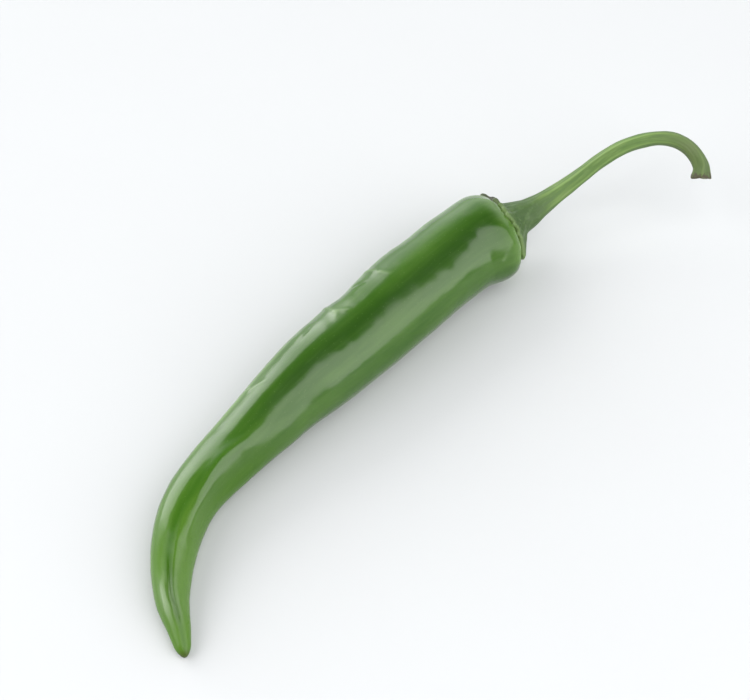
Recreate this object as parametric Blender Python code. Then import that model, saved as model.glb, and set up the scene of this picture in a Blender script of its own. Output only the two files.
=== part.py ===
"""Demre pepper: a long, slender green pepper as picked, lying on its belly.

Metres, +Z up. +X runs along the straight part of the pod towards the stalk, and the tip bends towards -Y.
The origin is the middle of the pepper's footprint, on the surface that it lies on.
Lengths below are in millimetres and angles in degrees.
Round the pod, angle 0 is its top, 90 its +Y side, 180 its belly and -90 its -Y side.
"""

import math

import bmesh
import bpy
from mathutils import Vector

MM = 0.001

# Pod: distance from its calyx end, x and y of its axis, radius
POD_STATIONS = (
    (0, 49.6, 8.1, 12.75),
    (6, 43.7, 9.5, 12.7),
    (13, 36.7, 11.1, 12.35),
    (24, 25.8, 11.9, 12.2),
    (38, 11.8, 11.9, 12.2),
    (54, -4.2, 11.8, 11.7),
    (70, -20.2, 12.2, 11.3),
    (82, -32.2, 12.5, 10.0),
    (96, -46.2, 11.8, 8.7),
    (110, -60.1, 10.9, 7.7),
    (119, -68.8, 9.4, 7.1),
    (128, -76.9, 5.8, 6.5),
    (138, -85.0, -0.1, 5.5),
    (148, -91.8, -7.3, 4.3),
    (156, -95.9, -14.1, 2.9),
    (163, -99.6, -20.0, 1.5),
)
POD_LENGTH = 163
SHOULDER_LENGTH = 8
SHOULDER_POWER = 3
TIP_LENGTH = 3
BELLY_FLAT = 0.3

# Stalk: distance from its root in the calyx, x, y and z of its axis, radius
STALK_STATIONS = (
    (0, 49.6, 8.1, 12.7, 8.8),
    (4, 53.5, 7.6, 13.3, 5.5),
    (8, 57.4, 6.5, 13.7, 4.2),
    (12, 61.2, 5.6, 14.6, 3.4),
    (19, 67.5, 3.8, 16.8, 2.55),
    (26, 73.7, 2.0, 19.5, 2.2),
    (33, 79.7, 0.1, 22.6, 2.1),
    (40, 85.2, -2.5, 25.5, 2.05),
    (46, 89.7, -5.7, 27.4, 2.0),
    (51, 93.4, -9.0, 28.2, 2.0),
    (56, 96.4, -12.9, 27.8, 2.05),
    (61, 98.2, -17.1, 25.7, 2.1),
    (66, 98.0, -21.1, 22.6, 2.3),
    (70, 95.9, -23.5, 20.0, 2.6),
)
STALK_LENGTH = 69.6

# The furrow along the top wanders: distance from the calyx end, angle
TOP_FURROW = (
    (0, -9),
    (20, -18),
    (30, -19),
    (45, -16),
    (60, -12),
    (76, -11),
    (92, -11),
    (100, -10),
    (106, -7),
    (112, -8),
    (119, -9),
    (125, -3),
    (131, 2),
    (138, 4),
    (145, 1),
    (152, -5),
    (163, -14),
)
SIDE_FURROWS = (112, -122)
TOP_FURROW_DEPTH = (0.03, 0.03)
SIDE_FURROW_DEPTH = (0.03, 0.06)
FURROW_WIDTH = (20, 16)
TOP_FURROW_LEFT_WIDTH = (24, 25)
FURROW_NARROWS = (68, 118)
SHOULDER_NOTCH = 0.05
SHOULDER_NOTCH_LENGTH = 5

# Low swellings (+) and dents (-): distance, angle, half length, half width, height
SWELLINGS = (
    (5.5, 64, 4, 32, 0.4),
    (5.5, -116, 4, 32, 0.4),
    (14, 64, 4, 32, -0.25),
    (14, -116, 4, 32, -0.25),
    (3, 62, 4, 40, -0.6),
    (3, -80, 7, 40, 0.5),
    (25, 62, 5, 26, -0.3),
    (34, 58, 5, 24, 0.2),
    (50, 60, 4, 24, -0.4),
    (58, 55, 5, 26, 0.2),
    (5, -22, 5, 26, 0.45),
    (26, -58, 5, 24, 0.35),
    (89, -96, 5, 30, 0.3),
    (78, 150, 12, 40, -0.4),
    (28, -160, 14, 36, -0.3),
    (80, 34, 9, 20, -0.35),
    (97, 34, 11, 20, -0.4),
    (114, 32, 11, 20, -0.35),
    (83, -7, 10, 14, -0.22),
    (106, -60, 8, 26, -0.6),
    (121, -62, 9, 26, -0.45),
    (146, 26, 3, 14, 0.12),
)

# The ridge beside the furrow of the tip: distance, angle, and its height as a share of the radius
RIDGE_PATH = (
    (90, -30),
    (100, -26),
    (106, -19),
    (110, -19),
    (118, -29),
    (123, -28.5),
    (128, -25),
    (133, -17),
    (140, -14),
    (147, -12),
    (153, -20),
    (163, -26),
)
RIDGE_SPAN = (88, 102, 144, 158)
RIDGE_HEIGHT = 0.09
RIDGE_WIDTH = (17, 15)

CALYX_GAP = 0.3
CALYX_EDGE = 0.5
CALYX_EDGE_AT = 1.15
CALYX_SWELL = 0.95
CALYX_SWELL_AT = 0.75
CALYX_TEETH = 5
CALYX_TEETH_FROM = 58
CALYX_TOOTH_LENGTH = 0.9
CALYX_TOOTH_SHARPNESS = 3
STALK_RIDGES = 5
STALK_RIDGE_HEIGHT = 0.04
STALK_RIDGES_BEGIN = (3, 12)
CUT_EDGE = 0.93
CUT_DISH = 0.3
CUT_DISH_WIDTH = 0.6

POD_SIDES = 54
SHOULDER_RINGS = 9
BODY_STEP = 2.4
TIP_RINGS = 5
CALYX_SIDES = 40
UNDERSIDE_RINGS = 4
CALYX_TOP_RINGS = 3
STALK_RING_STEPS = ((2.5, 4, 0.75), (5.3, 12, 1.7), (14.5, 69.1, 2.6))
SMOOTH_ANGLE = 50
NORMAL_STEP = 0.2
NORMAL_TURN = 2
DIRECTION_STEP = 0.5


def clear_scene():
    for obj in list(bpy.data.objects):
        bpy.data.objects.remove(obj)


def smoothstep(low, high, value):
    share = min(max((value - low) / (high - low), 0), 1)
    return share * share * (3 - 2 * share)


def mix(first, second, share):
    return first + (second - first) * share


def window(span, value):
    """1 in the middle of a span, and 0 outside its ends."""
    return smoothstep(span[0], span[1], value) * (1 - smoothstep(span[2], span[3], value))


def turn_between(angle, centre):
    """Angle from centre to angle, within half a turn."""
    return (angle - centre + 180) % 360 - 180


def swell(distance, width):
    return math.exp(-((distance / width) ** 2))


def through(rows, at):
    """A row's values at a distance, on a smooth curve through all the rows."""
    last = len(rows) - 1
    found = sum(row[0] <= at for row in rows) - 1
    i = min(max(found, 0), last - 1)
    start, end = rows[i], rows[i + 1]
    before, after = rows[max(i - 1, 0)], rows[min(i + 2, last)]
    span = end[0] - start[0]
    t = (at - start[0]) / span
    values = []
    for k in range(1, len(start)):
        slope_start = (end[k] - before[k]) / (end[0] - before[0]) * span
        slope_end = (after[k] - start[k]) / (after[0] - start[0]) * span
        rise = end[k] - start[k]
        cubic = slope_start + slope_end - 2 * rise
        square = 3 * rise - 2 * slope_start - slope_end
        values.append(start[k] + t * (slope_start + t * (square + t * cubic)))
    return values


def pod_axis(s):
    """The axis lies one radius above the surface, less the flat of the belly."""
    x, y, radius = through(POD_STATIONS, s)
    return Vector((x, y, radius - BELLY_FLAT))


def pod_directions(s):
    """Directions up and sideways across the pod's axis."""
    along = (pod_axis(s + DIRECTION_STEP) - pod_axis(s - DIRECTION_STEP)).normalized()
    side = along.cross(Vector((0, 0, 1))).normalized()
    return side.cross(along), side


def pod_rounding(s):
    """Share of the radius left where the shoulder and the tip round off."""
    shoulder = min(max(1 - s / SHOULDER_LENGTH, 0), 1)
    tip = min(max(1 - (POD_LENGTH - s) / TIP_LENGTH, 0), 1)
    return (1 - shoulder**SHOULDER_POWER) ** (1 / SHOULDER_POWER) * math.sqrt(1 - tip**2)


def furrow_depth(s, angle):
    """Share of the radius that the lengthwise furrows take away, less what the ridge adds."""
    tipward = smoothstep(*FURROW_NARROWS, s)
    width = mix(*FURROW_WIDTH, tipward)
    notch = SHOULDER_NOTCH * swell(s, SHOULDER_NOTCH_LENGTH)
    top = mix(*TOP_FURROW_DEPTH, tipward) + notch
    side = mix(*SIDE_FURROW_DEPTH, tipward) + notch
    turn = turn_between(angle, through(TOP_FURROW, s)[0])
    depth = top * swell(turn, mix(*TOP_FURROW_LEFT_WIDTH, tipward) if turn > 0 else width)
    for centre in SIDE_FURROWS:
        depth += side * swell(turn_between(angle, centre), width)
    turn = turn_between(angle, through(RIDGE_PATH, s)[0])
    ridge = swell(turn, RIDGE_WIDTH[0] if turn < 0 else RIDGE_WIDTH[1])
    return depth - RIDGE_HEIGHT * window(RIDGE_SPAN, s) * ridge


def swellings(s, angle):
    height = 0
    for at, centre, length, width, size in SWELLINGS:
        height += size * swell(s - at, length) * swell(turn_between(angle, centre), width)
    return height


def pod_point(s, angle):
    """A point of the pod's skin, in millimetres."""
    up, side = pod_directions(s)
    radius = through(POD_STATIONS, s)[2]
    lobes = mix(*SIDE_FURROW_DEPTH, smoothstep(*FURROW_NARROWS, s)) / 2
    reach = radius * (1 + lobes - furrow_depth(s, angle)) + swellings(s, angle)
    reach *= pod_rounding(s)
    turn = math.radians(angle)
    point = pod_axis(s) + reach * (math.cos(turn) * up + math.sin(turn) * side)
    point.z = max(point.z, 0)
    return point


def pod_normal(s, angle):
    lengthwise = pod_point(s + NORMAL_STEP, angle) - pod_point(s - NORMAL_STEP, angle)
    around = pod_point(s, angle + NORMAL_TURN) - pod_point(s, angle - NORMAL_TURN)
    return around.cross(lengthwise).normalized()


def pod_distances():
    """Distances of the pod's rings, closer together where it rounds off."""
    shoulder_turns = [math.pi / 2 * i / SHOULDER_RINGS for i in range(SHOULDER_RINGS + 1)]
    tip_turns = [math.pi / 2 * i / TIP_RINGS for i in range(TIP_RINGS + 1)]
    shoulder = [SHOULDER_LENGTH * (1 - math.cos(turn)) for turn in shoulder_turns]
    tip = [POD_LENGTH - TIP_LENGTH * (1 - math.sin(turn)) for turn in tip_turns]
    count = round((tip[0] - shoulder[-1]) / BODY_STEP)
    body = [mix(shoulder[-1], tip[0], i / count) for i in range(1, count)]
    return shoulder + body + tip


def stalk_frame(a):
    """Place of the stalk's axis, its direction, the directions up and sideways across it, and its radius."""
    x, y, z, radius = through(STALK_STATIONS, a)
    ahead = Vector(through(STALK_STATIONS, a + DIRECTION_STEP)[:3])
    behind = Vector(through(STALK_STATIONS, a - DIRECTION_STEP)[:3])
    along = (ahead - behind).normalized()
    side = Vector((0, 0, 1)).cross(along).normalized()
    return Vector((x, y, z)), along, along.cross(side), side, radius


def stalk_point(a, angle, share=1.0):
    place, along, up, side, radius = stalk_frame(a)
    turn = math.radians(angle)
    ridge = STALK_RIDGE_HEIGHT * math.cos(STALK_RIDGES * turn) * smoothstep(*STALK_RIDGES_BEGIN, a)
    reach = radius * (1 + ridge) * share
    return place + reach * (math.cos(turn) * up + math.sin(turn) * side)


def calyx_edge(angle):
    """How far from the pod's end the calyx's toothed edge lies on the shoulder."""
    wave = (1 + math.cos(CALYX_TEETH * math.radians(angle - CALYX_TEETH_FROM))) / 2
    return CALYX_EDGE_AT + CALYX_TOOTH_LENGTH * wave**CALYX_TOOTH_SHARPNESS


def above_pod(s, angle, height):
    return pod_point(s, angle) + height * pod_normal(s, angle)


def steps(first, last, step):
    count = round((last - first) / step)
    return [mix(first, last, i / count) for i in range(count + 1)]


def calyx_rings(angles):
    """Rings from the middle of the calyx's underside, round its edge and along the stalk to the cut."""
    rings = []
    for i in range(1, UNDERSIDE_RINGS + 1):
        share = (i / UNDERSIDE_RINGS) ** 2
        rings.append([above_pod(share * calyx_edge(angle), angle, CALYX_GAP) for angle in angles])
    for i in range(CALYX_TOP_RINGS):
        share = i / (CALYX_TOP_RINGS - 1)
        height = CALYX_GAP + mix(CALYX_EDGE, CALYX_SWELL, share)
        edge = [mix(calyx_edge(angle), CALYX_SWELL_AT, share) for angle in angles]
        rings.append([above_pod(s, angle, height) for s, angle in zip(edge, angles)])
    for first, last, step in STALK_RING_STEPS:
        for a in steps(first, last, step):
            rings.append([stalk_point(a, angle) for angle in angles])
    rings.append([stalk_point(STALK_LENGTH, angle, CUT_EDGE) for angle in angles])
    rings.append([stalk_point(STALK_LENGTH - CUT_DISH, angle, CUT_DISH_WIDTH) for angle in angles])
    return rings


def skin(name, start, rings, end, material, collection):
    """A closed body through rings of points, with a point at each end."""
    mesh = bpy.data.meshes.new(name)
    bm = bmesh.new()
    first = bm.verts.new(start * MM)
    last = bm.verts.new(end * MM)
    loops = [[bm.verts.new(point * MM) for point in ring] for ring in rings]
    count = len(loops[0])
    for k in range(count):
        following = (k + 1) % count
        bm.faces.new((first, loops[0][following], loops[0][k]))
        bm.faces.new((last, loops[-1][k], loops[-1][following]))
        for near, far in zip(loops, loops[1:]):
            bm.faces.new((near[k], near[following], far[following], far[k]))
    bmesh.ops.triangulate(bm, faces=bm.faces)
    bmesh.ops.recalc_face_normals(bm, faces=bm.faces)
    bm.to_mesh(mesh)
    bm.free()
    mesh.shade_smooth()
    mesh.set_sharp_from_angle(angle=math.radians(SMOOTH_ANGLE))
    mesh.materials.append(material)
    obj = bpy.data.objects.new(name, mesh)
    collection.objects.link(obj)
    return obj


def plain_material(name, colour, roughness):
    material = bpy.data.materials.new(name)
    material.use_nodes = True
    shader = material.node_tree.nodes["Principled BSDF"]
    shader.inputs["Base Color"].default_value = (*colour, 1)
    shader.inputs["Roughness"].default_value = roughness
    shader.inputs["Metallic"].default_value = 0
    return material


def make_pod(collection):
    angles = [360 * k / POD_SIDES for k in range(POD_SIDES)]
    rings = [[pod_point(s, angle) for angle in angles] for s in pod_distances()[1:-1]]
    material = plain_material("waxy_green_skin", (0.085, 0.2, 0.035), 0.3)
    return skin("pod", pod_point(0, 0), rings, pod_point(POD_LENGTH, 0), material, collection)


def make_calyx_stalk(collection):
    angles = [360 * k / CALYX_SIDES for k in range(CALYX_SIDES)]
    start = pod_point(0, 0) + CALYX_GAP * stalk_frame(0)[1]
    end = stalk_frame(STALK_LENGTH - CUT_DISH)[0]
    material = plain_material("pale_green_stalk", (0.17, 0.27, 0.08), 0.6)
    return skin("calyx_stalk", start, calyx_rings(angles), end, material, collection)


def main():
    clear_scene()
    collection = bpy.data.collections.new("demre_pepper")
    bpy.context.scene.collection.children.link(collection)
    make_pod(collection)
    make_calyx_stalk(collection)


main()
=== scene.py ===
"""Demre pepper: the looks of a long, slender green pepper as picked, around its solids.

The pod and the calyx with its stalk are made again from the same named values as the solids, with finer
rings, and with the relief that a step closer shows: the crease in the furrow of the bent tip, wrinkles and
ripples in the skin, puckers round the calyx, its raised and ragged edge with one dried tooth, and the fine
lines and the cut of the stalk.
Lengths are in millimetres, angles in degrees and colours in linear RGB. Round the pod, angle 0 is its top,
90 its left (+Y) side, 180 its belly and -90 its right (-Y) side.
"""

import math

import bpy
import numpy as np
from mathutils import Matrix, Vector

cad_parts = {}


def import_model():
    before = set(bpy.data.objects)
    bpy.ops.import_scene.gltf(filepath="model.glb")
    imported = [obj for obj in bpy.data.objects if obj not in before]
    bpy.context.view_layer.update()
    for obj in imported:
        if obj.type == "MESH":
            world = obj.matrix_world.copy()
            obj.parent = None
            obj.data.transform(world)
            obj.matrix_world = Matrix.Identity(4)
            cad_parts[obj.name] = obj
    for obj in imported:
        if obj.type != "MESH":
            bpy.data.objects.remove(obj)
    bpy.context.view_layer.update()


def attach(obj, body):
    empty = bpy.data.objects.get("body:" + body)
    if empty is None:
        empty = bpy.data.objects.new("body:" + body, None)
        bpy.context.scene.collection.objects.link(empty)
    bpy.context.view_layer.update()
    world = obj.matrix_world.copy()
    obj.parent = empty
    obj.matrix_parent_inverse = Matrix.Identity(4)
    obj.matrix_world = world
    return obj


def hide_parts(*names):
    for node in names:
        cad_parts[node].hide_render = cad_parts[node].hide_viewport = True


MM = 0.001

# Pod: distance from its calyx end, x and y of its axis, radius
POD_STATIONS = (
    (0, 49.6, 8.1, 12.75),
    (6, 43.7, 9.5, 12.7),
    (13, 36.7, 11.1, 12.35),
    (24, 25.8, 11.9, 12.2),
    (38, 11.8, 11.9, 12.2),
    (54, -4.2, 11.8, 11.7),
    (70, -20.2, 12.2, 11.3),
    (82, -32.2, 12.5, 10.0),
    (96, -46.2, 11.8, 8.7),
    (110, -60.1, 10.9, 7.7),
    (119, -68.8, 9.4, 7.1),
    (128, -76.9, 5.8, 6.5),
    (138, -85.0, -0.1, 5.5),
    (148, -91.8, -7.3, 4.3),
    (156, -95.9, -14.1, 2.9),
    (163, -99.6, -20.0, 1.5),
)
POD_LENGTH = 163
SHOULDER_LENGTH = 8
SHOULDER_POWER = 3
TIP_LENGTH = 3
BELLY_FLAT = 0.3

# Stalk: distance from its root in the calyx, x, y and z of its axis, radius
STALK_STATIONS = (
    (0, 49.6, 8.1, 12.7, 8.8),
    (4, 53.5, 7.6, 13.3, 5.5),
    (8, 57.4, 6.5, 13.7, 4.2),
    (12, 61.2, 5.6, 14.6, 3.4),
    (19, 67.5, 3.8, 16.8, 2.55),
    (26, 73.7, 2.0, 19.5, 2.2),
    (33, 79.7, 0.1, 22.6, 2.1),
    (40, 85.2, -2.5, 25.5, 2.05),
    (46, 89.7, -5.7, 27.4, 2.0),
    (51, 93.4, -9.0, 28.2, 2.0),
    (56, 96.4, -12.9, 27.8, 2.05),
    (61, 98.2, -17.1, 25.7, 2.1),
    (66, 98.0, -21.1, 22.6, 2.3),
    (70, 95.9, -23.5, 20.0, 2.6),
)
STALK_LENGTH = 69.6

# The furrow along the top wanders: distance from the calyx end, angle
TOP_FURROW = (
    (0, -9),
    (20, -18),
    (30, -19),
    (45, -16),
    (60, -12),
    (76, -11),
    (92, -11),
    (100, -10),
    (106, -7),
    (112, -8),
    (119, -9),
    (125, -3),
    (131, 2),
    (138, 4),
    (145, 1),
    (152, -5),
    (163, -14),
)
SIDE_FURROWS = (112, -122)
# Pairs of values hold on the body and on the tip, and change over FURROW_NARROWS
TOP_FURROW_DEPTH = (0.03, 0.03)
SIDE_FURROW_DEPTH = (0.03, 0.06)
FURROW_WIDTH = (20, 16)
TOP_FURROW_LEFT_WIDTH = (24, 25)
# Width of the furrow's darker green, which is partly painted shade
FURROW_COLOUR_WIDTH = (17, 12)
FURROW_NARROWS = (68, 118)
SHOULDER_NOTCH = 0.05
SHOULDER_NOTCH_LENGTH = 5

# The ridge beside the furrow of the tip: distance, angle, and its height as a share of the radius
RIDGE_PATH = (
    (90, -30),
    (100, -26),
    (106, -19),
    (110, -19),
    (118, -29),
    (123, -28.5),
    (128, -25),
    (133, -17),
    (140, -14),
    (147, -12),
    (153, -20),
    (163, -26),
)
RIDGE_SPAN = (88, 102, 144, 158)
RIDGE_HEIGHT = 0.09
RIDGE_WIDTH = (17, 15)

# Low swellings (+) and dents (-): distance, angle, half length, half width, height
SWELLINGS = (
    (5.5, 64, 4, 32, 0.4),
    (5.5, -116, 4, 32, 0.4),
    (14, 64, 4, 32, -0.25),
    (14, -116, 4, 32, -0.25),
    (3, 62, 4, 40, -0.6),
    (3, -80, 7, 40, 0.5),
    (25, 62, 5, 26, -0.3),
    (34, 58, 5, 24, 0.2),
    (50, 60, 4, 24, -0.4),
    (58, 55, 5, 26, 0.2),
    (5, -22, 5, 26, 0.45),
    (26, -58, 5, 24, 0.35),
    (89, -96, 5, 30, 0.3),
    (78, 150, 12, 40, -0.4),
    (28, -160, 14, 36, -0.3),
    (80, 34, 9, 20, -0.35),
    (97, 34, 11, 20, -0.4),
    (114, 32, 11, 20, -0.35),
    (83, -7, 10, 14, -0.22),
    (106, -60, 8, 26, -0.6),
    (121, -62, 9, 26, -0.45),
    (146, 26, 3, 14, 0.12),
)

# Unevenness: height, seed, number of waves, range of their lengths, range of their turns round
SKIN_LUMPS = (0.03, 3, 14, (11, 34), (1, 4))
SKIN_DIMPLES = (0.015, 5, 22, (3.5, 9), (3, 9))
LONG_RIPPLES = (0.02, 41, 9, (5, 11), (0, 3))
SHORT_RIPPLES = (0.012, 43, 12, (2.2, 4.5), (0, 4))
PUCKERS = (0.13, 8, 8, (6, 14), (7, 15))
CALYX_RAGGED = (0.24, 21, 10, (40, 60), (9, 26))
CALYX_VEINS = (1, 31, 9, (40, 60), (12, 30))
STALK_UNEVEN = (0.02, 11, 12, (6, 20), (1, 4))
CUT_RAGGED = (0.22, 51, 6, (40, 60), (1, 5))

# Ripples on the left flank of the body, and puckers on the shoulder
RIPPLES_SPAN = (4, 14, 56, 70)
RIPPLES_AT = 62
RIPPLES_WIDTH = 34
PUCKERS_AT = 2.2
PUCKERS_LENGTH = 3.2

# The crease in the furrow near the tip: distance, angle
CREASE_PATH = (
    (136, 4),
    (143.5, 0.2),
    (148.3, -0.3),
    (151.5, -6.5),
    (155.5, -8),
    (163, -14),
)
CREASE_SPAN = (136, 143, 152, 157)
CREASE_DEPTH = 0.18
CREASE_WIDTH = 0.4
# Width of the shade painted darker along the crease
CREASE_SHADE_WIDTH = 1.1

# Wrinkles: distance and angle where each starts and ends, half width, height
WRINKLES = (
    (57.4, 60, 58.2, 29, 0.8, 0.26),
    (58.2, 29, 55.4, 14, 0.7, 0.16),
    (58.0, 26, 60.0, 18, 0.8, 0.1),
    (41.0, 60, 40.6, 26, 0.8, 0.24),
    (40.6, 26, 39.6, 12, 0.6, 0.14),
    (47.0, 46, 45.5, 32, 0.6, -0.2),
    (8.2, -66, 7.4, -62, 0.35, 0.12),
    (66.0, 40, 70.0, 30, 0.9, -0.2),
    (88.0, 44, 84.0, 26, 0.8, 0.18),
)
WRINKLE_SINKS = 0.55
# Width of the pale highlight painted along the crests of the raised wrinkles
CREST_WIDTH = 0.5

# Patches with more (+) or less (-) shine: distance, angle, half length, half width, change
SHINE_PATCHES = (
    (2, -25, 4, 45, -0.7),
    (12, 28, 8, 22, 0.5),
    (45, -80, 32, 20, -0.4),
    (48.5, 30, 6, 22, -0.75),
    (61, 24, 5, 20, 0.6),
    (74, 28, 7, 22, -0.3),
    (86, -40, 8, 16, -0.15),
    (106, 34, 7, 18, -0.2),
    (108, -72, 14, 26, -0.6),
    (128, 4, 7, 12, -0.3),
    (127, -22, 8, 10, -0.3),
    (138, 18, 5, 22, -0.5),
    (141, 0, 5, 12, -0.45),
    (139, 42, 5, 16, -0.3),
    (148.5, 28, 4, 16, 1.0),
)

# Painted sheen: paler skin low on the left flank, standing in for a bright reflection along its edge
PAINTED_SHEEN_AT = 62
PAINTED_SHEEN_WIDTH = 13
PAINTED_SHEEN_SPAN = (-2, 2, 100, 122)

# Calyx: its toothed edge on the shoulder, and the dried tooth that curls up
CALYX_EDGE_AT = 1.15
CALYX_TEETH = 5
CALYX_TEETH_FROM = 58
CALYX_TOOTH_LENGTH = 0.9
CALYX_TOOTH_SHARPNESS = 3
CALYX_DRIED_AT = 42
CALYX_DRIED_WIDTH = 22
CALYX_DRIED_CURL = 0.38
CALYX_DRIED_CRUMPLE = 0.15

# Rings of the calyx, under it, over its lip and at its top: share of the way to its edge, height over the
# pod, place along the stalk for the colours, share of the rim's colour
CALYX_UNDER = (
    (0.25, -0.15, -0.25, 0),
    (0.5, -0.15, -0.5, 0),
    (0.75, -0.15, -0.75, 0),
    (0.93, -0.15, -0.93, 0.5),
)
CALYX_LIP = (
    (1.04, -0.1, -0.92, 1),
    (1.09, 0.14, -1.02, 1),
    (1.1, 0.42, -1.04, 1),
    (1.06, 0.7, -0.96, 0.8),
    (0.98, 0.93, -0.8, 0.6),
    (0.87, 1.07, -0.58, 0.4),
    (0.74, 1.15, -0.32, 0.25),
)
CALYX_TOP = (0.62, 1.26, 0.2, 0.1)

# Veins run up from the calyx's lip and fade out on the stalk
VEIN_HEIGHT = 0.12
VEIN_SHARE = 0.03
VEINS_AT = 2
VEINS_FADE = 3

# Ribs, fine lines that sway and twist, and a low node on the stalk, their heights as shares of its radius
STALK_RIDGES = 5
STALK_RIDGE_HEIGHT = 0.04
STALK_RIDGES_BEGIN = (3, 12)
STALK_LINES = 13
STALK_LINE_HEIGHT = 0.012
STALK_LINES_PHASE = 0.7
STALK_SWAY = 6
STALK_SWAY_LENGTH = 13
STALK_TWIST = 8
STALK_TWIST_SPAN = (20, 60)
NODE_AT = 27
NODE_LENGTH = 1.5
NODE_ANGLE = -40
NODE_WIDTH = 60
NODE_HEIGHT = 0.05

# The cut flares, most on one side
CUT_LIP = 0.08
CUT_LIP_LENGTH = 1.0
CUT_FLARE = 0.1
CUT_FLARE_ANGLE = -90
CUT_FLARE_WIDTH = 55
CUT_FLARE_BACK = 0.5

# Rings of the cut: distance back from its face, share of the radius, share of the pith's colour
CUT_RINGS = (
    (0.12, 1.0, 0),
    (0.0, 0.97, 0.25),
    (0.0, 0.9, 0.6),
    (0.1, 0.84, 1),
    (0.25, 0.7, 1),
    (0.3, 0.45, 1),
    (0.22, 0.2, 1),
)

# Fineness of the meshes
POD_SIDES = 240
SHOULDER_RINGS = 30
BODY_RINGS = 326
TIP_RINGS = 16
STALK_SIDES = 160
FUNNEL_SPAN = (2.5, 12)
FUNNEL_RINGS = 30
STALK_RINGS = 190
LAST_RING_BACK = 0.35
DIRECTION_STEP = 0.5
NORMAL_STEP = 0.2
NORMAL_TURN = 2

# Colours of the skin
SKIN_DARK = (0.034, 0.1, 0.007)
SKIN_LIGHT = (0.051, 0.128, 0.012)
SKIN_NEAR_TIP = (0.075, 0.172, 0.016)
# Darker green of the furrow: partly the skin's own colour, partly painted shade
FURROW_GREEN_AND_SHADE = (0.016, 0.058, 0.003)
FURROW_NEAR_TIP = (0.034, 0.108, 0.005)
# Painted shade in the crease near the tip
CREASE_PAINTED_SHADE = (0.035, 0.09, 0.008)
SHOULDER_PALE = (0.14, 0.26, 0.055)
# Painted sheen low on the left flank
FLANK_PAINTED_SHEEN = (0.18, 0.3, 0.1)
# Painted highlight along the crests of the wrinkles
CREST_PAINTED_HIGHLIGHT = (0.2, 0.3, 0.13)
STREAK_PALE = (0.1, 0.19, 0.04)
DOT_PALE = (0.13, 0.22, 0.06)
TIP_BROWN = (0.05, 0.065, 0.012)
GRAIN_DARK = (0.02, 0.06, 0.004)

# Colours of the calyx and the stalk
STALK_DARK = (0.074, 0.15, 0.024)
STALK_LIGHT = (0.11, 0.195, 0.038)
RIB_PALE = (0.19, 0.3, 0.08)
FIBRE_PALE = (0.19, 0.29, 0.085)
FIBRE_DARK = (0.05, 0.11, 0.02)
BLOOM_GREY = (0.17, 0.16, 0.08)
STALK_NEAR_CUT = (0.068, 0.1, 0.027)
FUNNEL_GREEN = (0.036, 0.082, 0.014)
FUNNEL_DARK = (0.038, 0.088, 0.015)
FUNNEL_PALE = (0.12, 0.2, 0.07)
RIM_PALE = (0.19, 0.29, 0.09)
DRIED_BROWN = (0.028, 0.03, 0.012)
CUT_BROWN = (0.05, 0.036, 0.016)
PITH_DARK = (0.12, 0.13, 0.06)
PITH_LIGHT = (0.2, 0.2, 0.11)

# Noise in the colours and the bumps: scale, detail, roughness
SKIN_PATCHES = (190, 3, 0.55)
SKIN_STREAKS = (900, 2, 0.6)
SKIN_GRAIN = (2600, 2, 0.6)
SKIN_UNDULATION = (420, 2, 0.5)
STALK_PATCHES = (260, 3, 0.5)
STALK_FIBRES = (1500, 3, 0.6)
STALK_GRAIN = (3800, 2, 0.6)
DARK_MOTTLES = (900, 3, 0.6)
PALE_MOTTLES = (700, 3, 0.5)
CUT_RAGGEDNESS = (1300, 2, 0.5)
FLOOR_CLOUDS = (14, 2, 0.5)
SKIN_DOTS_SCALE = 900
SKIN_PORES_SCALE = 1500

# How far the patterns are drawn out lengthwise
SKIN_STRETCH = 5
STREAK_STRETCH = 14
FIBRE_STRETCH = 9
STALK_PATCH_STRETCH = 3

# Where the looks change, as distances along the pod
SKIN_YELLOWS = (92, 150)
FURROW_FADES = (163, 140)
FURROW_YELLOWS = (78, 112)
SHOULDER_PALES = (7.5, 0.8)
TIP_BROWNS = (161.0, 162.9)
TIP_DULLS = (146, 161)
TIP_GLOSS_FALLS = (150, 158)

# Where the colours change, as distances along the stalk
MOTTLES_BEGIN = (14, 4)
STALK_DARKENS = (44, 62)
FUNNEL_DARKENS = (19, 8)
FUNNEL_PALES = (16, 6)
CUT_BROWNS = (STALK_LENGTH - 1.5, STALK_LENGTH - 0.5)

# The surface that the pepper lies on, just under its belly, in metres
FLOOR_HALF = 6.0
FLOOR_Z = -0.0001
FLOOR_DARK = (0.566, 0.576, 0.591)
FLOOR_LIGHT = (0.576, 0.591, 0.606)

# Light all round: pale low down behind the pepper, dimmer in front and overhead
BEHIND = (0.5, 0.87, 0)
BEHIND_SPAN = (-0.3, 0.3)
OVERHEAD_SPAN = (0.25, 0.9)
LOW_IN_FRONT = (0.45, 0.46, 0.47)
LOW_BEHIND = (1.65, 1.69, 1.71)
OVERHEAD = (0.15, 0.155, 0.16)

# Softboxes, in metres: name, middle, point that it faces, direction of its width, width, height, radiance
LIGHTS = (
    (
        "right_softbox",
        (0.119, -0.784, 0.913),
        (-0.052, -0.098, 0.206),
        (0.525, -0.544, -0.654),
        2.16,
        1.14,
        2.9,
    ),
    ("back_softbox", (0.038, 1.46, 0.651), (0.0, 0.0, 0.0), (1.0, -0.026, 0.0), 1.2, 1.4, 3.0),
    ("left_softbox", (-0.987, 0.525, 1.0), (0.0, 0.0, 0.0), (0.469, 0.883, 0.0), 1.15, 1.3, 2.7),
)
LIGHT_COLOUR = (1.0, 0.99, 0.97)

# Camera: its height over the surface and its bearing as angles, its distance and its target in metres
CAMERA_ELEVATION = 55
CAMERA_AZIMUTH = 46
CAMERA_DISTANCE = 0.573
CAMERA_TARGET = (0.001, 0.0115, 0)
CAMERA_LENS = 100
CAMERA_SENSOR = 36


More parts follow.
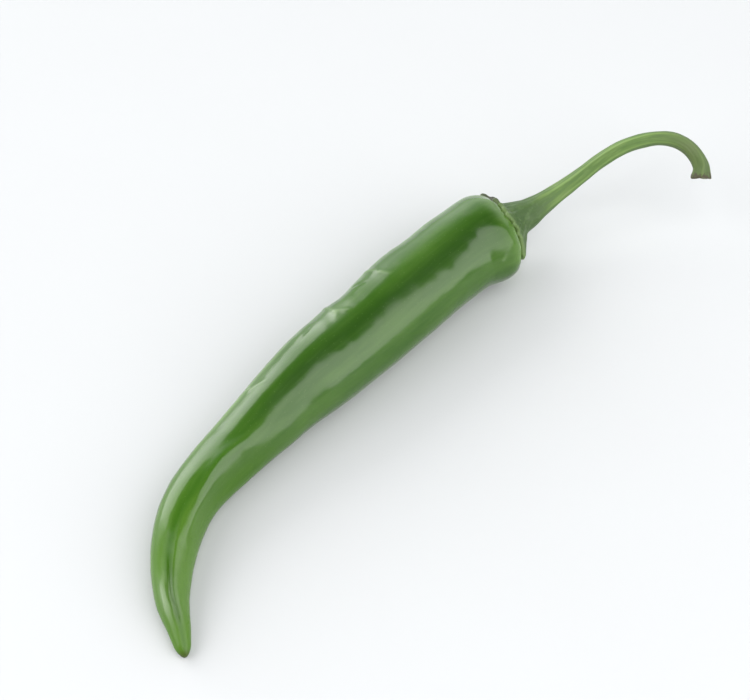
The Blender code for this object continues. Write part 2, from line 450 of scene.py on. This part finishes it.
def smoothstep(low, high, value):
    share = np.clip((value - low) / (high - low), 0, 1)
    return share * share * (3 - 2 * share)


def mix(first, second, share):
    return first + (second - first) * share


def window(span, value):
    """1 in the middle of a span, and 0 outside its ends."""
    return smoothstep(span[0], span[1], value) * (1 - smoothstep(span[2], span[3], value))


def turn_between(angle, centre):
    """Angle from centre to angle, within half a turn."""
    return (angle - centre + 180) % 360 - 180


def swell(distance, width):
    return np.exp(-((distance / width) ** 2))


def unit(vectors):
    return vectors / np.linalg.norm(vectors, axis=-1, keepdims=True)


def through(rows, at):
    """Values at many distances, on a smooth curve through all the rows."""
    rows = np.asarray(rows, float)
    last = len(rows) - 1
    i = np.clip(np.searchsorted(rows[:, 0], at, side="right") - 1, 0, last - 1)
    start, end = rows[i], rows[i + 1]
    before, after = rows[np.maximum(i - 1, 0)], rows[np.minimum(i + 2, last)]
    span = end[:, :1] - start[:, :1]
    t = (np.asarray(at, float)[:, None] - start[:, :1]) / span
    slope_start = (end[:, 1:] - before[:, 1:]) / (end[:, :1] - before[:, :1]) * span
    slope_end = (after[:, 1:] - start[:, 1:]) / (after[:, :1] - start[:, :1]) * span
    rise = end[:, 1:] - start[:, 1:]
    cubic = slope_start + slope_end - 2 * rise
    square = 3 * rise - 2 * slope_start - slope_end
    return start[:, 1:] + t * (slope_start + t * (square + t * cubic))


def waves(row, s, angle):
    """Smooth unevenness that closes round the pod or the stalk."""
    height, seed, count, lengths, turns = row
    draw = np.random.default_rng(seed)
    total = np.zeros(np.broadcast(s, angle).shape)
    for _ in range(count):
        length = draw.uniform(*lengths)
        turn = draw.integers(turns[0], turns[1] + 1)
        phase = draw.uniform(0, 2 * math.pi)
        lean = draw.choice((-1, 1))
        total += np.cos(2 * math.pi * s / length + lean * turn * np.radians(angle) + phase)
    return height * (total / math.sqrt(count))


def soft_patches(rows, s, angle):
    """Sum of soft-edged patches on the pod."""
    total = 0
    for at, centre, length, width, height in rows:
        total = total + height * swell(s - at, length)[:, None] * swell(turn_between(angle, centre), width)
    return total


def pod_axis(s):
    row = through(POD_STATIONS, s)
    return np.stack([row[:, 0], row[:, 1], row[:, 2] - BELLY_FLAT], axis=1)


def pod_radius(s):
    return through(POD_STATIONS, s)[:, 2:]


def pod_directions(s):
    """Directions up and sideways across the pod's axis."""
    along = unit(pod_axis(s + DIRECTION_STEP) - pod_axis(s - DIRECTION_STEP))
    side = unit(np.cross(along, (0, 0, 1)))
    return np.cross(side, along), side


def pod_rounding(s):
    shoulder = np.clip(1 - s / SHOULDER_LENGTH, 0, 1)
    tip = np.clip(1 - (POD_LENGTH - s) / TIP_LENGTH, 0, 1)
    return (1 - shoulder**SHOULDER_POWER) ** (1 / SHOULDER_POWER) * np.sqrt(1 - tip**2)


def furrow_depth(s, angle, left_width):
    """Share of the radius that the furrows take away, less what the ridge adds."""
    tipward = smoothstep(*FURROW_NARROWS, s)[:, None]
    width = mix(*FURROW_WIDTH, tipward)
    notch = SHOULDER_NOTCH * swell(s, SHOULDER_NOTCH_LENGTH)[:, None]
    top = mix(*TOP_FURROW_DEPTH, tipward) + notch
    side = mix(*SIDE_FURROW_DEPTH, tipward) + notch
    turn = turn_between(angle, through(TOP_FURROW, s))
    depth = top * swell(turn, np.where(turn > 0, mix(*left_width, tipward), width))
    for centre in SIDE_FURROWS:
        depth = depth + side * swell(turn_between(angle, centre), width)
    turn = turn_between(angle, through(RIDGE_PATH, s))
    ridge = swell(turn, np.where(turn < 0, *RIDGE_WIDTH))
    return depth - RIDGE_HEIGHT * window(RIDGE_SPAN, s)[:, None] * ridge


def pod_surface(s, angle, left_width, relief):
    """Points of the pod, a row of angles for each distance."""
    up, side = pod_directions(s)
    lobes = mix(*SIDE_FURROW_DEPTH, smoothstep(*FURROW_NARROWS, s)[:, None]) / 2
    reach = pod_radius(s) * (1 + lobes - furrow_depth(s, angle, left_width))
    reach = (reach + soft_patches(SWELLINGS, s, angle) + relief) * pod_rounding(s)[:, None]
    turn = np.radians(angle)[..., None]
    across = np.cos(turn) * up[:, None] + np.sin(turn) * side[:, None]
    return pod_axis(s)[:, None] + reach[..., None] * across


def beside(path, s, angle):
    """How far each point lies round the pod from a path along it, in millimetres."""
    return np.radians(turn_between(angle, through(path, s))) * pod_radius(s)


def wrinkle(s, angle, row):
    """A short raised or sunk line in the skin, which is lower at its far end."""
    s_start, angle_start, s_end, angle_end, width, height = row
    radius = pod_radius(s)
    x = s[:, None] - s_start
    y = np.radians(turn_between(angle, angle_start)) * radius
    run_x = s_end - s_start
    run_y = np.radians(turn_between(angle_end, angle_start)) * radius
    share = np.clip((x * run_x + y * run_y) / (run_x**2 + run_y**2), 0, 1)
    gap = np.hypot(x - share * run_x, y - share * run_y)
    return height * swell(gap, width) * (1 - WRINKLE_SINKS * share)


def crests(s, angle):
    """1 along the tops of the raised wrinkles, where a pale highlight is painted."""
    share = 0
    for *place, _, height in WRINKLES:
        if height > 0:
            share = share + wrinkle(s, angle, (*place, CREST_WIDTH, 1))
    return np.minimum(share, 1)


def pod_relief(s, angle):
    """Fine relief of the skin, in millimetres."""
    along = s[:, None]
    height = waves(SKIN_LUMPS, along, angle) + waves(SKIN_DIMPLES, along, angle)
    ripples = waves(LONG_RIPPLES, along, angle) + waves(SHORT_RIPPLES, along, angle)
    flank = swell(turn_between(angle, RIPPLES_AT), RIPPLES_WIDTH)
    height = height + ripples * window(RIPPLES_SPAN, along) * flank
    crease = swell(beside(CREASE_PATH, s, angle), CREASE_WIDTH)
    height = height - CREASE_DEPTH * window(CREASE_SPAN, along) * crease
    for row in WRINKLES:
        height = height + wrinkle(s, angle, row)
    return height + waves(PUCKERS, along, angle) * swell(along - PUCKERS_AT, PUCKERS_LENGTH)


def closed_mesh(name, start, rings, end, attributes):
    """A closed body through rings of points, with a point at each end and values at every point."""
    count, sides = rings.shape[:2]
    points = np.concatenate([start[None], rings.reshape(-1, 3), end[None]]) * MM
    k = np.arange(sides)
    following = (k + 1) % sides
    row = 1 + sides * np.arange(count - 1)[:, None]
    quads = np.stack([row + k, row + following, row + sides + following, row + sides + k], axis=-1)
    last = 1 + sides * (count - 1)
    first_fan = np.stack([np.zeros(sides, int), 1 + following, 1 + k], axis=1)
    last_fan = np.stack([np.full(sides, len(points) - 1), last + k, last + following], axis=1)
    faces = quads.reshape(-1, 4).tolist() + first_fan.tolist() + last_fan.tolist()
    mesh = bpy.data.meshes.new(name)
    mesh.from_pydata(points.tolist(), [], faces)
    mesh.shade_smooth()
    for key, values in attributes.items():
        values = np.concatenate([values[:1, 0], values.reshape(-1, *values.shape[2:]), values[-1:, 0]])
        kind, slot = ("FLOAT_VECTOR", "vector") if values.ndim == 2 else ("FLOAT", "value")
        made = mesh.attributes.new(key, kind, "POINT")
        made.data.foreach_set(slot, values.astype(np.float32).ravel())
    obj = bpy.data.objects.new(name, mesh)
    bpy.context.scene.collection.objects.link(obj)
    return obj


def straightened(s, angle, radius):
    """Points as on a pod or stalk that is pulled straight, for patterns that follow it."""
    turn = np.radians(angle)
    along = np.broadcast_to(s[:, None], turn.shape)
    return np.stack([along, radius * np.cos(turn), radius * np.sin(turn)], axis=-1) * MM


def pod_distances():
    """Distances of the pod's rings, which lie closer together where its ends round off."""
    shoulder = SHOULDER_LENGTH * (1 - np.cos(np.linspace(0, math.pi / 2, SHOULDER_RINGS)))
    body = np.linspace(SHOULDER_LENGTH, POD_LENGTH - TIP_LENGTH, BODY_RINGS)[1:-1]
    tip = POD_LENGTH - TIP_LENGTH * (1 - np.sin(np.linspace(0, math.pi / 2, TIP_RINGS)))
    return np.concatenate([shoulder, body, tip])[1:-1]


def skin_values(s, angle):
    """Values at the pod's points that its material reads."""
    furrow = turn_between(angle, through(TOP_FURROW, s))
    furrow_width = mix(*FURROW_COLOUR_WIDTH, smoothstep(*FURROW_NARROWS, s)[:, None])
    # Mask of the shade painted along the crease
    crease = swell(beside(CREASE_PATH, s, angle), CREASE_SHADE_WIDTH)
    # Mask of the painted sheen low on the left flank
    flank = swell(turn_between(angle, PAINTED_SHEEN_AT), PAINTED_SHEEN_WIDTH)
    return {
        "along": np.broadcast_to(s[:, None], angle.shape),
        "furrow": swell(furrow, furrow_width),
        "crease": crease * window(CREASE_SPAN, s)[:, None],
        "crest": crests(s, angle),
        "shine": 1 + soft_patches(SHINE_PATCHES, s, angle),
        "flank": flank * window(PAINTED_SHEEN_SPAN, s)[:, None],
        "straight": straightened(s, angle, pod_radius(s) * pod_rounding(s)[:, None]),
    }


def make_pod():
    s = pod_distances()
    angle = np.broadcast_to(360 * np.arange(POD_SIDES) / POD_SIDES, (len(s), POD_SIDES))
    points = pod_surface(s, angle, TOP_FURROW_LEFT_WIDTH, pod_relief(s, angle))
    points[..., 2] = np.maximum(points[..., 2], 0)
    start, end = pod_axis(np.array([0.0, POD_LENGTH]))
    return closed_mesh("pod_skin", start, points, end, skin_values(s, angle))


def stalk_frame(a):
    """Place of the stalk's axis, the directions up and sideways across it, and its radius."""
    row = through(STALK_STATIONS, a)
    ahead = through(STALK_STATIONS, a + DIRECTION_STEP)[:, :3]
    behind = through(STALK_STATIONS, a - DIRECTION_STEP)[:, :3]
    along = unit(ahead - behind)
    side = unit(np.cross((0, 0, 1), along))
    return row[:, :3], np.cross(along, side), side, row[:, 3:]


def stalk_relief(a, angle):
    """Ribs, fine twisting lines, a node and the lip of the cut, as a share of the stalk's radius."""
    along = a[:, None]
    begin = smoothstep(*STALK_RIDGES_BEGIN, along)
    twist = angle + STALK_SWAY * np.sin(along / STALK_SWAY_LENGTH)
    twist = twist + STALK_TWIST * smoothstep(*STALK_TWIST_SPAN, along)
    ribs = STALK_RIDGE_HEIGHT * np.cos(STALK_RIDGES * np.radians(angle))
    lines = STALK_LINE_HEIGHT * np.cos(STALK_LINES * np.radians(twist) + STALK_LINES_PHASE)
    node = NODE_HEIGHT * swell(along - NODE_AT, NODE_LENGTH)
    node = node * swell(turn_between(angle, NODE_ANGLE), NODE_WIDTH)
    flare = CUT_LIP + CUT_FLARE * swell(turn_between(angle, CUT_FLARE_ANGLE), CUT_FLARE_WIDTH)
    lip = flare * swell(along - STALK_LENGTH + CUT_FLARE_BACK, CUT_LIP_LENGTH)
    return (ribs + lines + waves(STALK_UNEVEN, along, angle)) * begin + node + lip


def stalk_skin(a, angle, share=1.0):
    place, up, side, radius = stalk_frame(a)
    reach = radius * (1 + stalk_relief(a, angle)) * share
    turn = np.radians(angle)[..., None]
    return place[:, None] + reach[..., None] * (np.cos(turn) * up[:, None] + np.sin(turn) * side[:, None])


def calyx_edge(angle):
    """How far from the pod's end the calyx's toothed, ragged edge lies on the shoulder."""
    wave = (1 + np.cos(CALYX_TEETH * np.radians(angle - CALYX_TEETH_FROM))) / 2
    ragged = waves(CALYX_RAGGED, np.zeros_like(angle), angle)
    return CALYX_EDGE_AT + CALYX_TOOTH_LENGTH * wave**CALYX_TOOTH_SHARPNESS + ragged


def shoulder_points(s, angle):
    """Points of the smooth shoulder, one for each pair of a distance and an angle."""
    return pod_surface(np.maximum(s, 0), angle[:, None], FURROW_WIDTH, 0)[:, 0]


def above_pod(s, angle, height):
    """Points over the shoulder, each at its own distance from the pod's end."""
    forward = shoulder_points(s + NORMAL_STEP, angle) - shoulder_points(s - NORMAL_STEP, angle)
    around = shoulder_points(s, angle + NORMAL_TURN) - shoulder_points(s, angle - NORMAL_TURN)
    return shoulder_points(s, angle) + height[:, None] * unit(np.cross(around, forward))


def calyx_rings(angles, veins):
    edge = calyx_edge(angles)
    dried = swell(turn_between(angles, CALYX_DRIED_AT), CALYX_DRIED_WIDTH)
    curl = 1 + (CALYX_DRIED_CURL + CALYX_DRIED_CRUMPLE * veins) * dried
    rings = []
    for share, height, *_ in CALYX_UNDER:
        rings.append(above_pod(share * edge, angles, np.full(len(angles), height)))
    for share, height, *_ in CALYX_LIP:
        rings.append(above_pod(share * edge, angles, height * curl + VEIN_HEIGHT * veins))
    share, height, *_ = CALYX_TOP
    rings.append(above_pod(share * edge, angles, height + VEIN_HEIGHT * veins))
    return np.stack(rings)


def stalk_rings(a, angles, veins, push):
    """Rings up the stalk, veined near the calyx and pushed out of line near the cut."""
    points = stalk_skin(a, np.broadcast_to(angles, (len(a), len(angles))))
    centre = stalk_frame(a)[0][:, None]
    fade = swell(a - VEINS_AT, VEINS_FADE)[:, None, None]
    points = centre + (points - centre) * (1 + VEIN_SHARE * veins[None, :, None] * fade)
    return points + push * swell(a - STALK_LENGTH, CUT_LIP_LENGTH)[:, None, None]


def cut_rings(angles, push):
    """Rings over the lip of the cut and in over its dished face."""
    rings = []
    for back, share, _ in CUT_RINGS:
        ring = stalk_skin(np.array([STALK_LENGTH - back]), angles[None], share)[0]
        rings.append(ring + push * share)
    return np.stack(rings)


def make_calyx_stalk():
    angles = -360 * np.arange(STALK_SIDES) / STALK_SIDES
    level = np.zeros(STALK_SIDES)
    veins = waves(CALYX_VEINS, level, angles)
    funnel = np.linspace(*FUNNEL_SPAN, FUNNEL_RINGS)
    a = np.linspace(FUNNEL_SPAN[1], STALK_LENGTH - LAST_RING_BACK, STALK_RINGS)[1:]
    a = np.concatenate([funnel, a])
    centre = stalk_frame(a)[0]
    push = unit(centre[-1] - centre[-2]) * waves(CUT_RAGGED, level, angles)[:, None]
    parts = (calyx_rings(angles, veins), stalk_rings(a, angles, veins, push), cut_rings(angles, push))
    rings = np.concatenate(parts)

    calyx = np.array((*CALYX_UNDER, *CALYX_LIP, CALYX_TOP))
    cut = np.array(CUT_RINGS)
    along = np.concatenate([calyx[:, 2], a, np.full(len(cut), STALK_LENGTH)])
    rim = np.concatenate([calyx[:, 3], np.zeros(len(a) + len(cut))])
    face = np.concatenate([np.zeros(len(calyx) + len(a)), cut[:, 2]])
    whole = np.broadcast_to(angles, (len(rings), STALK_SIDES))
    radius = np.linalg.norm(rings - rings.mean(axis=1, keepdims=True), axis=2).mean(axis=1)
    attributes = {
        "along": np.broadcast_to(along[:, None], whole.shape),
        "rim": np.broadcast_to(rim[:, None], whole.shape),
        "face": np.broadcast_to(face[:, None], whole.shape),
        "rib": np.cos(STALK_RIDGES * np.radians(whole)),
        "dried": swell(turn_between(whole, CALYX_DRIED_AT), CALYX_DRIED_WIDTH),
        "straight": straightened(along, whole, radius[:, None]),
    }
    return closed_mesh("calyx_stalk_skin", rings[0].mean(axis=0), rings, rings[-1].mean(axis=0), attributes)


def add(tree, kind, inputs=None, **settings):
    """A new node with its settings, and its inputs set or linked."""
    made = tree.nodes.new(kind)
    for key, value in settings.items():
        setattr(made, key, value)
    for key, value in (inputs or {}).items():
        if isinstance(value, bpy.types.NodeSocket):
            tree.links.new(value, made.inputs[key])
        else:
            made.inputs[key].default_value = value
    return made


def value_of(tree, name):
    return add(tree, "ShaderNodeAttribute", attribute_name=name).outputs["Fac"]


def place_of(tree, stretch):
    """The straightened place, with patterns drawn out along the pod by stretch."""
    vector = add(tree, "ShaderNodeAttribute", attribute_name="straight").outputs["Vector"]
    inputs = {0: vector, 1: (1 / stretch, 1, 1)}
    return add(tree, "ShaderNodeVectorMath", inputs, operation="MULTIPLY").outputs[0]


def noise(tree, place, scale, detail, roughness):
    inputs = {"Vector": place, "Scale": scale, "Detail": detail, "Roughness": roughness}
    return add(tree, "ShaderNodeTexNoise", inputs).outputs["Fac"]


def spots(tree, place, scale):
    made = add(tree, "ShaderNodeTexVoronoi", {"Vector": place, "Scale": scale}, feature="F1")
    return made.outputs["Distance"]


def remap(tree, value, low, high, to_low=0.0, to_high=1.0):
    """A value taken smoothly from one range to another."""
    inputs = {"Value": value, "From Min": low, "From Max": high, "To Min": to_low, "To Max": to_high}
    return add(tree, "ShaderNodeMapRange", inputs, interpolation_type="SMOOTHSTEP").outputs["Result"]


def plus(tree, first, second):
    return add(tree, "ShaderNodeMath", {0: first, 1: second}, operation="ADD").outputs[0]


def times(tree, first, second):
    return add(tree, "ShaderNodeMath", {0: first, 1: second}, operation="MULTIPLY").outputs[0]


def blend(tree, share, first, second):
    """A colour between two colours."""
    made = add(tree, "ShaderNodeMix", {"Factor": share}, data_type="RGBA")
    for key, value in ((6, first), (7, second)):
        if isinstance(value, bpy.types.NodeSocket):
            tree.links.new(value, made.inputs[key])
        else:
            made.inputs[key].default_value = (*value, 1)
    return made.outputs[2]


def bump(tree, height, strength, distance, below=None):
    inputs = {"Height": height, "Strength": strength, "Distance": distance * MM}
    if below is not None:
        inputs["Normal"] = below
    return add(tree, "ShaderNodeBump", inputs).outputs["Normal"]


def new_material(name):
    material = bpy.data.materials.new(name)
    material.use_nodes = True
    return material, material.node_tree, material.node_tree.nodes["Principled BSDF"]


def skin_colour(tree, along, place, patches, grain):
    """Deeper green in the furrow, partly its own colour and partly painted shade, yellower towards the tip,
    pale round the calyx, with painted shade in the crease, a painted sheen on the left flank, painted
    highlights on the wrinkles' crests, and streaks, dots and grain.
    """
    colour = blend(tree, remap(tree, patches, 0.35, 0.68), SKIN_DARK, SKIN_LIGHT)
    colour = blend(tree, remap(tree, along, *SKIN_YELLOWS), colour, SKIN_NEAR_TIP)
    # Furrow: darker green, partly the skin's own colour and partly painted shade
    furrow = times(tree, value_of(tree, "furrow"), remap(tree, along, *FURROW_FADES, 0.4, 0.92))
    furrow_colour_and_shade = blend(tree, remap(tree, along, *FURROW_YELLOWS), FURROW_GREEN_AND_SHADE, FURROW_NEAR_TIP)
    colour = blend(tree, furrow, colour, furrow_colour_and_shade)
    # Painted shade: darker green along the crease near the tip
    colour = blend(tree, times(tree, value_of(tree, "crease"), 0.55), colour, CREASE_PAINTED_SHADE)
    paler = remap(tree, patches, 0.2, 0.7, 0.4, 0.8)
    shoulder = times(tree, remap(tree, along, *SHOULDER_PALES), paler)
    colour = blend(tree, shoulder, colour, SHOULDER_PALE)
    # Painted sheen: paler skin low on the left flank
    flank = times(tree, value_of(tree, "flank"), remap(tree, patches, 0.2, 0.7, 0.4, 0.75))
    colour = blend(tree, flank, colour, FLANK_PAINTED_SHEEN)
    # Painted highlight: pale along the crests of the raised wrinkles
    colour = blend(tree, times(tree, value_of(tree, "crest"), 0.45), colour, CREST_PAINTED_HIGHLIGHT)
    streaks = noise(tree, place_of(tree, STREAK_STRETCH), *SKIN_STREAKS)
    colour = blend(tree, remap(tree, streaks, 0.42, 0.75, 0.0, 0.1), colour, STREAK_PALE)
    dots = remap(tree, spots(tree, place, SKIN_DOTS_SCALE), 0.16, 0.05, 0.0, 0.3)
    colour = blend(tree, dots, colour, DOT_PALE)
    colour = blend(tree, remap(tree, along, *TIP_BROWNS, 0.0, 0.8), colour, TIP_BROWN)
    return blend(tree, remap(tree, grain, 0.45, 0.8, 0.0, 0.18), colour, GRAIN_DARK)


def skin_material():
    """Waxy green skin, with duller and shinier patches and a duller tip."""
    material, tree, shader = new_material("waxy_green_skin")
    along = value_of(tree, "along")
    place = place_of(tree, 1)
    long_place = place_of(tree, SKIN_STRETCH)
    patches = noise(tree, long_place, *SKIN_PATCHES)
    grain = noise(tree, place, *SKIN_GRAIN)
    tree.links.new(skin_colour(tree, along, place, patches, grain), shader.inputs["Base Color"])
    body_rough = remap(tree, patches, 0.3, 0.75, 0.16, 0.24)
    tip_rough = remap(tree, along, *TIP_DULLS, 0.0, 0.08)
    tree.links.new(plus(tree, body_rough, tip_rough), shader.inputs["Roughness"])
    gloss = times(tree, value_of(tree, "shine"), remap(tree, along, *TIP_GLOSS_FALLS, 0.5, 0.28))
    tree.links.new(gloss, shader.inputs["Specular IOR Level"])
    normal = bump(tree, noise(tree, long_place, *SKIN_UNDULATION), 0.12, 0.12)
    normal = bump(tree, spots(tree, place, SKIN_PORES_SCALE), 0.10, 0.05, normal)
    normal = bump(tree, grain, 0.06, 0.04, normal)
    tree.links.new(normal, shader.inputs["Normal"])
    shader.inputs["Subsurface Weight"].default_value = 0.12
    shader.inputs["Subsurface Radius"].default_value = (0.6, 1.0, 0.25)
    shader.inputs["Subsurface Scale"].default_value = 0.0012
    shader.inputs["IOR"].default_value = 1.5
    return material


def stalk_green(tree, along, place, fibres):
    """Light ribs and fibres, grey bloom, darker towards the cut, and mottled dark and pale on the calyx."""
    patches = noise(tree, place_of(tree, STALK_PATCH_STRETCH), *STALK_PATCHES)
    rib = value_of(tree, "rib")
    colour = blend(tree, remap(tree, patches, 0.35, 0.68), STALK_DARK, STALK_LIGHT)
    colour = blend(tree, remap(tree, rib, 0.5, 1.0, 0.0, 0.6), colour, RIB_PALE)
    colour = blend(tree, remap(tree, rib, 0.2, -0.9, 0.0, 0.3), colour, FIBRE_DARK)
    colour = blend(tree, remap(tree, fibres, 0.45, 0.75, 0.0, 0.4), colour, FIBRE_PALE)
    colour = blend(tree, remap(tree, fibres, 0.5, 0.25, 0.0, 0.4), colour, FIBRE_DARK)
    colour = blend(tree, remap(tree, patches, 0.55, 0.8, 0.0, 0.3), colour, BLOOM_GREY)
    mottles = remap(tree, noise(tree, place, *DARK_MOTTLES), 0.4, 0.58, 0.25, 1.0)
    mottles = times(tree, remap(tree, along, *MOTTLES_BEGIN), mottles)
    colour = blend(tree, times(tree, mottles, 0.85), colour, FUNNEL_DARK)
    colour = blend(tree, remap(tree, along, *STALK_DARKENS, 0.0, 0.62), colour, STALK_NEAR_CUT)
    colour = blend(tree, remap(tree, along, *FUNNEL_DARKENS, 0.0, 0.8), colour, FUNNEL_GREEN)
    pale = remap(tree, noise(tree, place, *PALE_MOTTLES), 0.5, 0.66)
    pale = times(tree, remap(tree, along, *FUNNEL_PALES), pale)
    return blend(tree, times(tree, pale, 0.3), colour, FUNNEL_PALE)


def stalk_ends(tree, along, place, grain, colour):
    """The calyx's pale rim with its dried brown tooth, and the corky cut with its brown edge."""
    rim = value_of(tree, "rim")
    colour = blend(tree, times(tree, rim, 0.6), colour, RIM_PALE)
    dried = times(tree, remap(tree, rim, 0.1, 0.5), value_of(tree, "dried"))
    colour = blend(tree, dried, colour, DRIED_BROWN)
    ragged = plus(tree, along, remap(tree, noise(tree, place, *CUT_RAGGEDNESS), 0.3, 0.7, -0.7, 0.7))
    near_cut = remap(tree, ragged, *CUT_BROWNS, 0.0, 0.9)
    colour = blend(tree, near_cut, colour, CUT_BROWN)
    pith = blend(tree, remap(tree, grain, 0.35, 0.7), PITH_DARK, PITH_LIGHT)
    return blend(tree, remap(tree, value_of(tree, "face"), 0.5, 1.0), colour, pith)


def stalk_material():
    """Matt pale green with lengthwise fibres."""
    material, tree, shader = new_material("pale_green_stalk")
    along = value_of(tree, "along")
    place = place_of(tree, 1)
    fibres = noise(tree, place_of(tree, FIBRE_STRETCH), *STALK_FIBRES)
    grain = noise(tree, place, *STALK_GRAIN)
    colour = stalk_green(tree, along, place, fibres)
    colour = stalk_ends(tree, along, place, grain, colour)
    tree.links.new(colour, shader.inputs["Base Color"])
    tree.links.new(remap(tree, fibres, 0.3, 0.75, 0.5, 0.68), shader.inputs["Roughness"])
    normal = bump(tree, fibres, 0.5, 0.12)
    normal = bump(tree, grain, 0.3, 0.05, normal)
    tree.links.new(normal, shader.inputs["Normal"])
    shader.inputs["Subsurface Weight"].default_value = 0.08
    shader.inputs["Subsurface Radius"].default_value = (0.7, 1.0, 0.3)
    shader.inputs["Subsurface Scale"].default_value = 0.001
    return material


def floor_material():
    material, tree, shader = new_material("pale_surface")
    coordinates = add(tree, "ShaderNodeTexCoord").outputs["Object"]
    colour = blend(tree, noise(tree, coordinates, *FLOOR_CLOUDS), FLOOR_DARK, FLOOR_LIGHT)
    tree.links.new(colour, shader.inputs["Base Color"])
    shader.inputs["Roughness"].default_value = 0.7
    shader.inputs["Specular IOR Level"].default_value = 0.2
    return material


def make_floor():
    mesh = bpy.data.meshes.new("floor")
    corners = [(x * FLOOR_HALF, y * FLOOR_HALF, FLOOR_Z) for x, y in ((-1, -1), (1, -1), (1, 1), (-1, 1))]
    mesh.from_pydata(corners, [], [(0, 1, 2, 3)])
    mesh.materials.append(floor_material())
    floor = bpy.data.objects.new("floor", mesh)
    bpy.context.scene.collection.objects.link(floor)


def make_world():
    world = bpy.data.worlds.new("studio")
    world.use_nodes = True
    tree = world.node_tree
    direction = add(tree, "ShaderNodeTexCoord").outputs["Generated"]
    parts = add(tree, "ShaderNodeSeparateXYZ", {"Vector": direction})
    behind = add(tree, "ShaderNodeVectorMath", {0: direction, 1: BEHIND}, operation="DOT_PRODUCT")
    low = blend(tree, remap(tree, behind.outputs["Value"], *BEHIND_SPAN), LOW_IN_FRONT, LOW_BEHIND)
    colour = blend(tree, remap(tree, parts.outputs["Z"], *OVERHEAD_SPAN), low, OVERHEAD)
    background = tree.nodes["Background"]
    tree.links.new(colour, background.inputs["Color"])
    background.inputs["Strength"].default_value = 1.0
    bpy.context.scene.world = world


def make_lights():
    for name, middle, target, wide, width, height, radiance in LIGHTS:
        light = bpy.data.lights.new(name, "AREA")
        light.shape = "RECTANGLE"
        light.size = width
        light.size_y = height
        light.energy = radiance * math.pi * width * height
        light.color = LIGHT_COLOUR
        obj = bpy.data.objects.new(name, light)
        back = (Vector(middle) - Vector(target)).normalized()
        tall = back.cross(Vector(wide)).normalized()
        turn = Matrix((tall.cross(back), tall, back)).transposed()
        obj.matrix_world = Matrix.Translation(middle) @ turn.to_4x4()
        bpy.context.scene.collection.objects.link(obj)


def make_camera():
    elevation = math.radians(CAMERA_ELEVATION)
    azimuth = math.radians(CAMERA_AZIMUTH)
    flat = math.cos(elevation)
    look = Vector((flat * math.sin(azimuth), flat * math.cos(azimuth), -math.sin(elevation)))
    camera = bpy.data.cameras.new("camera")
    camera.lens = CAMERA_LENS
    camera.sensor_width = CAMERA_SENSOR
    camera.clip_start = 0.01
    obj = bpy.data.objects.new("camera", camera)
    obj.location = Vector(CAMERA_TARGET) - CAMERA_DISTANCE * look
    obj.rotation_euler = look.to_track_quat("-Z", "Y").to_euler()
    bpy.context.scene.collection.objects.link(obj)
    bpy.context.scene.camera = obj


def dress(obj, material, node):
    obj.data.materials.append(material)
    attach(obj, "root")
    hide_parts(node)


def main():
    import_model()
    dress(make_pod(), skin_material(), "pod")
    dress(make_calyx_stalk(), stalk_material(), "calyx_stalk")
    make_floor()
    make_world()
    make_lights()
    make_camera()
    bpy.context.scene.view_settings.view_transform = "Standard"


main()
